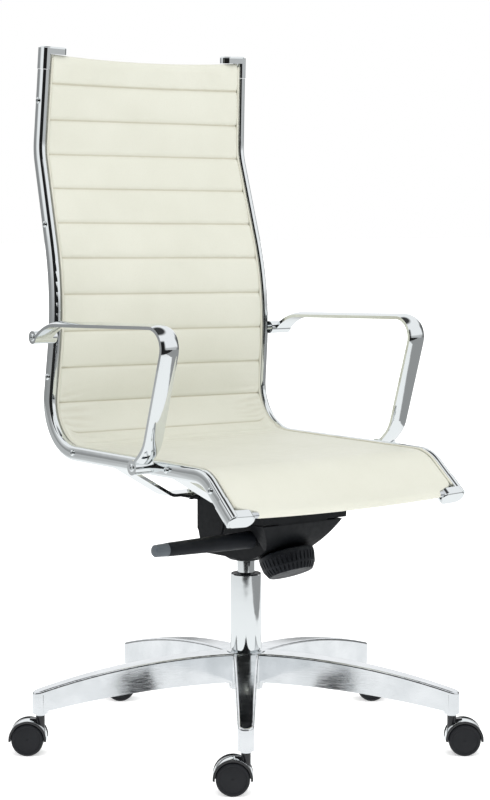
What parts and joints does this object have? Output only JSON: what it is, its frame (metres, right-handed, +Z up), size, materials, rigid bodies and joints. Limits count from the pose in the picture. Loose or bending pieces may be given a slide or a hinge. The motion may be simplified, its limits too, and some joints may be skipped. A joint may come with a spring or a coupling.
{
  "type": "swivel office chair",
  "caption": "High-back swivel office chair: ribbed leather sling between chromed side rails, loop armrests, tilt mechanism, gas lift and five-star base on twin-wheel castors.",
  "frame": {"origin": "on the floor, on the seat's swivel axis", "axes": "+Z up along the gas lift, the sitter faces -Y, +X is the sitter's left"},
  "size_m": [0.7424, 0.7101, 1.1102],
  "materials": {
    "leather": "smooth grained cream leather",
    "chrome": "bright chrome",
    "polished_aluminium": "polished casting",
    "steel": "plain bright steel",
    "black_metal": "satin black powder coat",
    "black_plastic": "fine moulded texture",
    "grey_plastic": "satin moulded",
    "castor_body": "black moulded hood with a bright plated crown",
    "castor_wheel": "matt nylon"
  },
  "bodies": {
    "base": {"base_star": "polished_aluminium", "column_tube": "chrome", "column_bushing": "black_plastic"},
    "swivel": {"piston_rod": "steel", "retaining_clip": "steel", "thrust_bearing": "steel"},
    "mechanism": {"gas_cylinder": "chrome", "mechanism_housing": "black_metal", "tilt_axle": "steel", "tension_spring": "steel"},
    "seat": {"seat_plate": "black_metal", "front_strap": "chrome", "rear_strap": "chrome", "strap_bolts": "chrome", "rail_left": "chrome", "rail_right": "chrome", "rail_screws": "chrome", "top_cap_left": "chrome", "top_cap_right": "chrome", "front_cap_left": "chrome", "front_cap_right": "chrome", "top_crossbar": "steel", "front_crossbar": "steel", "back_stretcher": "chrome", "leather_sling": "leather", "arm_left": "chrome", "arm_right": "chrome", "arm_bolts": "chrome"},
    "lever": {"lift_lever": "black_plastic", "lever_rod": "steel"},
    "lock_button": {"lever_tip": "grey_plastic"},
    "valve_pin": {"release_pin": "steel"},
    "knob": {"tension_knob": "black_plastic", "tension_bolt": "steel"},
    "castor_1": {"castor_hood_1": "castor_body", "castor_stem_1": "steel", "castor_axle_1": "steel"},
    "wheel_a_1": {"castor_wheel_a_1": "castor_wheel"},
    "wheel_b_1": {"castor_wheel_b_1": "castor_wheel"},
    "castor_2": {"castor_hood_2": "castor_body", "castor_stem_2": "steel", "castor_axle_2": "steel"},
    "wheel_a_2": {"castor_wheel_a_2": "castor_wheel"},
    "wheel_b_2": {"castor_wheel_b_2": "castor_wheel"},
    "castor_3": {"castor_hood_3": "castor_body", "castor_stem_3": "steel", "castor_axle_3": "steel"},
    "wheel_a_3": {"castor_wheel_a_3": "castor_wheel"},
    "wheel_b_3": {"castor_wheel_b_3": "castor_wheel"},
    "castor_4": {"castor_hood_4": "castor_body", "castor_stem_4": "steel", "castor_axle_4": "steel"},
    "wheel_a_4": {"castor_wheel_a_4": "castor_wheel"},
    "wheel_b_4": {"castor_wheel_b_4": "castor_wheel"},
    "castor_5": {"castor_hood_5": "castor_body", "castor_stem_5": "steel", "castor_axle_5": "steel"},
    "wheel_a_5": {"castor_wheel_a_5": "castor_wheel"},
    "wheel_b_5": {"castor_wheel_b_5": "castor_wheel"}
  },
  "joints": [
    {"name": "seat_swivel", "type": "hinge", "parent": "base", "child": "swivel", "pos_m": [0, 0, 0.06], "axis": [0, 0, 1], "continuous": true},
    {"name": "seat_lift", "type": "slide", "parent": "swivel", "child": "mechanism", "axis": [0, 0, 1], "range_m": [0, 0.1]},
    {"name": "seat_tilt", "type": "hinge", "parent": "mechanism", "child": "seat", "pos_m": [0, -0.07, 0.379], "axis": [-1, 0, 0], "range_deg": [0, 14], "stiffness_Nm_per_rad": 110, "springref_deg": -28.65},
    {"name": "lever_lift", "type": "hinge", "parent": "mechanism", "child": "lever", "pos_m": [-0.055, -0.088, 0.338], "axis": [0, 1, 0], "range_deg": [0, 6], "stiffness_Nm_per_rad": 2, "springref_deg": -28.65},
    {"name": "lock_pull", "type": "slide", "parent": "lever", "child": "lock_button", "axis": [-1, 0, 0], "range_m": [0, 0.008]},
    {"name": "pin_press", "type": "slide", "parent": "mechanism", "child": "valve_pin", "axis": [0, 0, -1], "range_m": [0, 0.0065]},
    {"name": "knob_turn", "type": "hinge", "parent": "mechanism", "child": "knob", "pos_m": [0, -0.1, 0.313], "axis": [0, 0.3907, 0.9205], "continuous": true},
    {"name": "castor_swivel_1", "type": "hinge", "parent": "base", "child": "castor_1", "pos_m": [-0.21004, -0.26482, 0.07], "axis": [0, 0, 1], "continuous": true},
    {"name": "wheel_a_spin_1", "type": "hinge", "parent": "castor_1", "child": "wheel_a_1", "pos_m": [-0.22493, -0.25301, 0.025], "axis": [-0.6214, -0.7835, 0], "continuous": true},
    {"name": "wheel_b_spin_1", "type": "hinge", "parent": "castor_1", "child": "wheel_b_1", "pos_m": [-0.22493, -0.25301, 0.025], "axis": [-0.6214, -0.7835, 0], "continuous": true},
    {"name": "castor_swivel_2", "type": "hinge", "parent": "base", "child": "castor_2", "pos_m": [0.18695, -0.28159, 0.07], "axis": [0, 0, 1], "continuous": true},
    {"name": "wheel_a_spin_2", "type": "hinge", "parent": "castor_2", "child": "wheel_a_2", "pos_m": [0.20183, -0.2934, 0.025], "axis": [0.6214, 0.7835, 0], "continuous": true},
    {"name": "wheel_b_spin_2", "type": "hinge", "parent": "castor_2", "child": "wheel_b_2", "pos_m": [0.20183, -0.2934, 0.025], "axis": [0.6214, 0.7835, 0], "continuous": true},
    {"name": "castor_swivel_3", "type": "hinge", "parent": "base", "child": "castor_3", "pos_m": [0.32558, 0.09078, 0.07], "axis": [0, 0, 1], "continuous": true},
    {"name": "wheel_a_spin_3", "type": "hinge", "parent": "castor_3", "child": "wheel_a_3", "pos_m": [0.34047, 0.07897, 0.025], "axis": [0.6214, 0.7835, 0], "continuous": true},
    {"name": "wheel_b_spin_3", "type": "hinge", "parent": "castor_3", "child": "wheel_b_3", "pos_m": [0.34047, 0.07897, 0.025], "axis": [0.6214, 0.7835, 0], "continuous": true},
    {"name": "castor_swivel_4", "type": "hinge", "parent": "base", "child": "castor_4", "pos_m": [0.01427, 0.3377, 0.07], "axis": [0, 0, 1], "continuous": true},
    {"name": "wheel_a_spin_4", "type": "hinge", "parent": "castor_4", "child": "wheel_a_4", "pos_m": [-0.00061, 0.34951, 0.025], "axis": [-0.6214, -0.7835, 0], "continuous": true},
    {"name": "wheel_b_spin_4", "type": "hinge", "parent": "castor_4", "child": "wheel_b_4", "pos_m": [-0.00061, 0.34951, 0.025], "axis": [-0.6214, -0.7835, 0], "continuous": true},
    {"name": "castor_swivel_5", "type": "hinge", "parent": "base", "child": "castor_5", "pos_m": [-0.31676, 0.11793, 0.07], "axis": [0, 0, 1], "continuous": true},
    {"name": "wheel_a_spin_5", "type": "hinge", "parent": "castor_5", "child": "wheel_a_5", "pos_m": [-0.33165, 0.12973, 0.025], "axis": [-0.6214, -0.7835, 0], "continuous": true},
    {"name": "wheel_b_spin_5", "type": "hinge", "parent": "castor_5", "child": "wheel_b_5", "pos_m": [-0.33165, 0.12973, 0.025], "axis": [-0.6214, -0.7835, 0], "continuous": true}
  ],
  "couplings": [
    {"joint": "pin_press", "follows": "lever_lift", "m_per_rad": 0.058}
  ]
}
